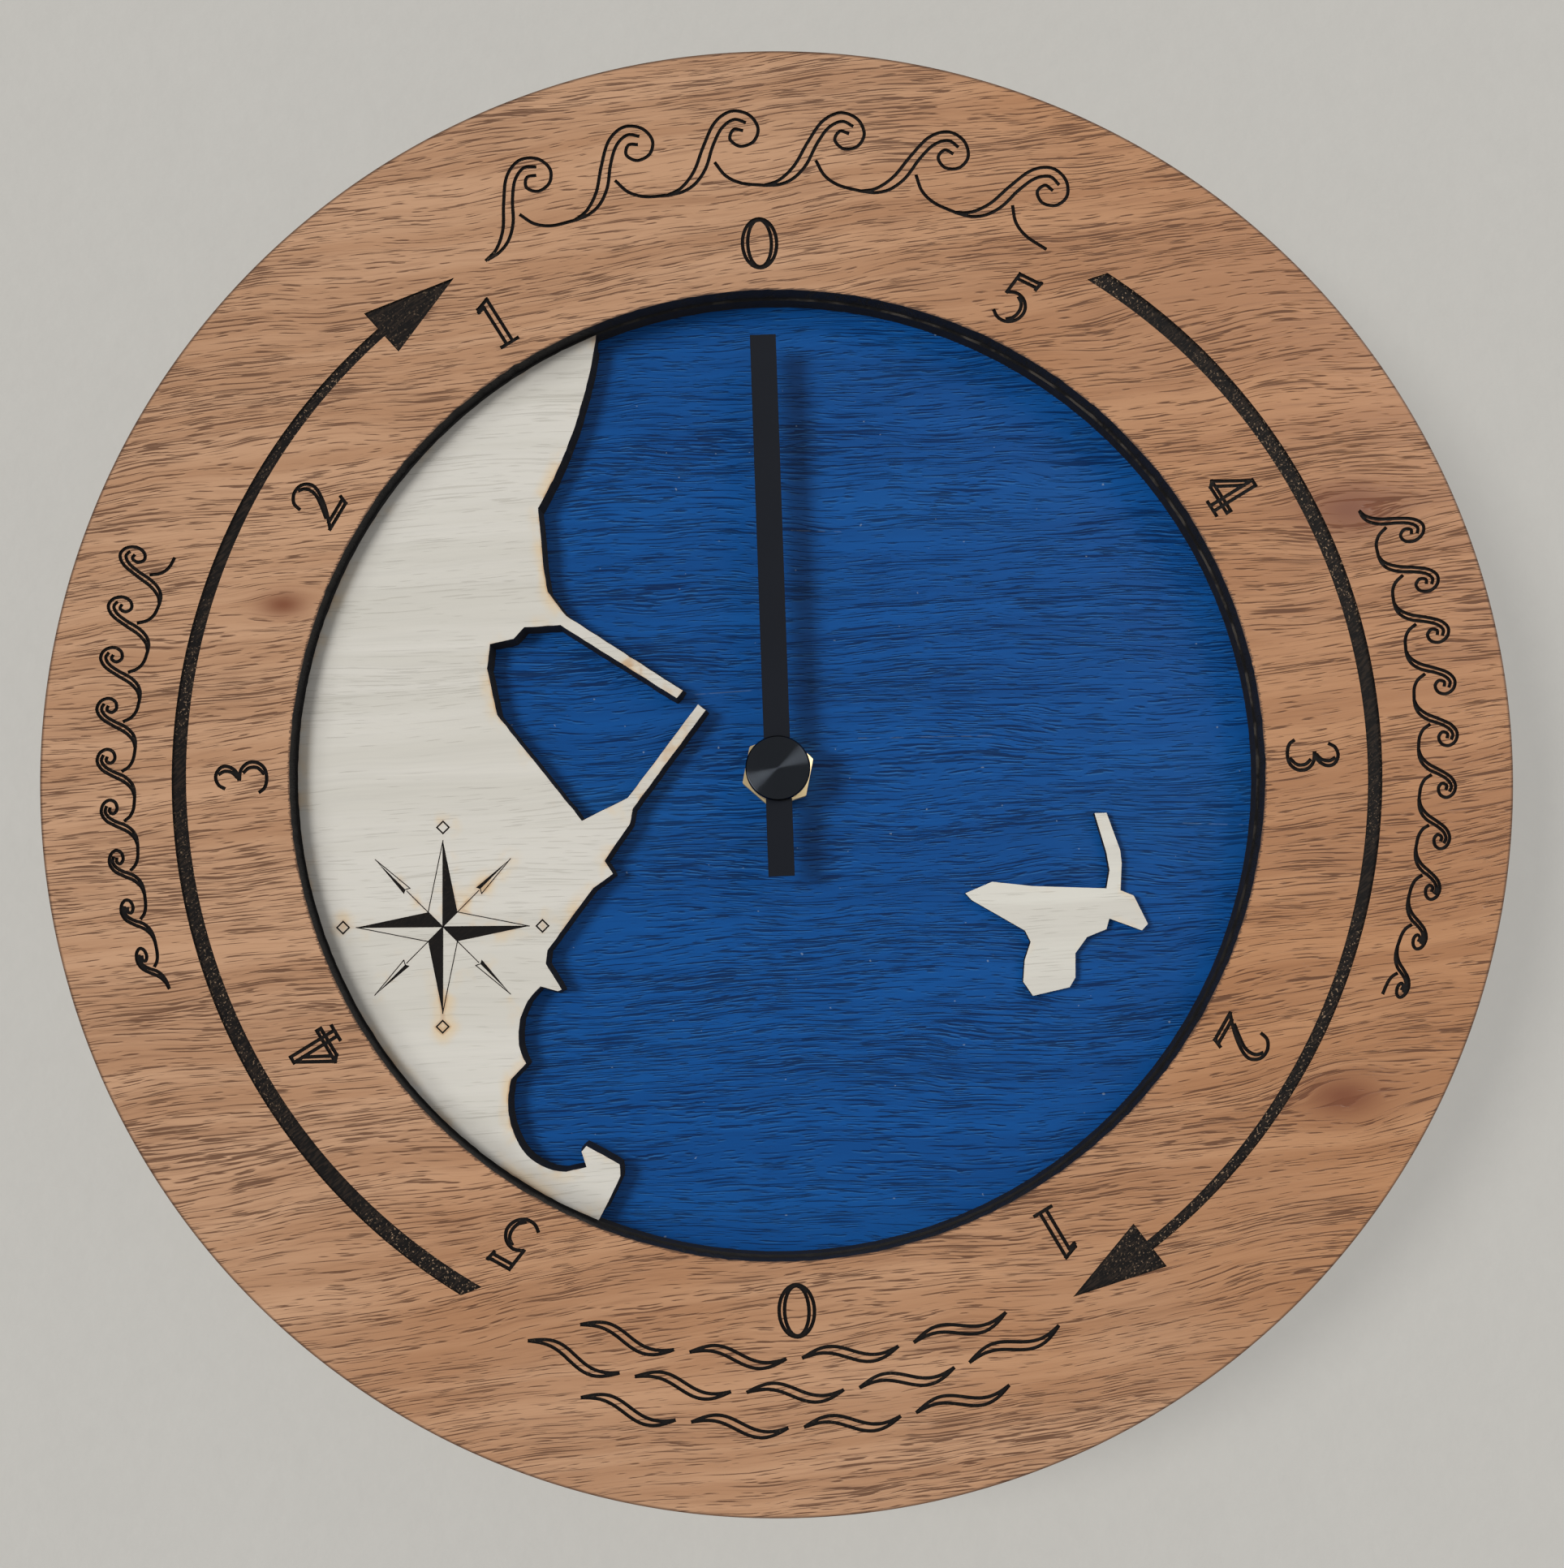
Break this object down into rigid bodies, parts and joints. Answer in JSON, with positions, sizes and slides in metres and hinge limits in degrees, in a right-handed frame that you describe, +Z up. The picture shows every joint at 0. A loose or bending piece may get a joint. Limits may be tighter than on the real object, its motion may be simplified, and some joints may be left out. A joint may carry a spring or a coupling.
{
  "type": "tide clock",
  "caption": "Round wall-mounted tide clock: wood ring over a sunk blue dial with a coast and island in relief, one hand, and a battery movement behind.",
  "frame": {"origin": "centre of the hanger's nail hole, on the wall plane", "axes": "+X to the viewer's right, +Z up, -Y out of the wall towards the viewer"},
  "size_m": [0.3, 0.031, 0.3],
  "materials": {
    "ring_wood": "open-grained brown veneer, satin varnish",
    "spacer_wood": "laser-charred plywood edge",
    "sea_blue_wood": "blue stain over open grain, satin",
    "land_white_wood": "white wash over fine grain, matt, charred edges",
    "island_white_wood": "white wash over fine grain, matt",
    "zinc_steel": "zinc plated strip",
    "black_rubber": "matt",
    "brass": "bright turned brass",
    "black_plastic": "fine spark texture",
    "cell_jacket": "plain shrink jacket",
    "spring_steel": "nickel plated spring strip",
    "board_laminate": "green solder mask",
    "crystal_can": "plated can",
    "chip_resin": "black epoxy drop",
    "natural_plastic": "natural acetal",
    "copper_wire": "enamelled copper, packed layers",
    "soft_iron": "annealed sheet",
    "hand_black": "satin black",
    "boss_black": "turned, black anodised",
    "wheel_plastic": "white acetal",
    "knob_plastic": "moulded grip",
    "ferrite": "sintered magnet"
  },
  "bodies": {
    "clock_case": {"dial_ring": "ring_wood", "spacer_ring": "spacer_wood", "dial_back": "sea_blue_wood", "land_plate": "land_white_wood", "island_plate": "island_white_wood", "hanger_bracket": "zinc_steel", "rubber_gasket": "black_rubber", "fixing_washer": "brass", "fixing_nut": "brass", "threaded_bush": "brass", "movement_front_case": "black_plastic", "movement_rear_cover": "black_plastic", "battery_cell": "cell_jacket", "battery_contact_positive": "spring_steel", "battery_contact_negative": "spring_steel", "circuit_board": "board_laminate", "quartz_crystal": "crystal_can", "clock_chip": "chip_resin", "coil_bobbin": "natural_plastic", "coil_winding": "copper_wire", "coil_core": "soft_iron", "stator_plate": "soft_iron", "train_bridge": "natural_plastic"},
    "tide_hand": {"hand_blade": "hand_black", "hand_boss": "boss_black", "hand_collet": "hand_black", "tide_wheel": "wheel_plastic"},
    "setting_arbor": {"motion_wheel": "wheel_plastic", "setting_knob": "knob_plastic"},
    "minute_sleeve": {"minute_pinion": "wheel_plastic"},
    "centre_arbor": {"centre_gear": "wheel_plastic"},
    "arbor_three": {"train_wheel_three": "wheel_plastic"},
    "arbor_two": {"train_wheel_two": "wheel_plastic"},
    "arbor_one": {"train_wheel_one": "wheel_plastic"},
    "rotor": {"rotor_pinion": "wheel_plastic", "rotor_magnet": "ferrite"}
  },
  "joints": [
    {"name": "tide_spin", "type": "hinge", "parent": "clock_case", "child": "tide_hand", "pos_m": [0, 0, -0.038], "axis": [0, 1, 0], "continuous": true},
    {"name": "setting_spin", "type": "hinge", "parent": "clock_case", "child": "setting_arbor", "pos_m": [0.00586, 0, -0.03102], "axis": [0, 1, 0], "continuous": true},
    {"name": "minute_spin", "type": "hinge", "parent": "clock_case", "child": "minute_sleeve", "pos_m": [0, 0, -0.038], "axis": [0, 1, 0], "continuous": true},
    {"name": "arbor_two_spin", "type": "hinge", "parent": "clock_case", "child": "arbor_two", "pos_m": [-0.00866, 0, -0.02698], "axis": [0, 1, 0], "continuous": true},
    {"name": "arbor_three_spin", "type": "hinge", "parent": "clock_case", "child": "arbor_three", "pos_m": [-0.00747, 0, -0.03368], "axis": [0, 1, 0], "continuous": true},
    {"name": "centre_spin", "type": "hinge", "parent": "clock_case", "child": "centre_arbor", "pos_m": [0, 0, -0.038], "axis": [0, 1, 0], "continuous": true},
    {"name": "arbor_one_spin", "type": "hinge", "parent": "clock_case", "child": "arbor_one", "pos_m": [-0.01457, 0, -0.02594], "axis": [0, 1, 0], "continuous": true},
    {"name": "rotor_spin", "type": "hinge", "parent": "clock_case", "child": "rotor", "pos_m": [-0.01359, 0, -0.02042], "axis": [0, 1, 0], "continuous": true}
  ],
  "couplings": [
    {"joint": "setting_spin", "follows": "tide_spin", "ratio": -3.3333},
    {"joint": "minute_spin", "follows": "tide_spin", "ratio": 12.424},
    {"joint": "arbor_three_spin", "follows": "arbor_two_spin", "ratio": -0.13333},
    {"joint": "centre_spin", "follows": "arbor_two_spin", "ratio": 0.016667},
    {"joint": "arbor_one_spin", "follows": "arbor_two_spin", "ratio": -5},
    {"joint": "rotor_spin", "follows": "arbor_two_spin", "ratio": 30}
  ]
}
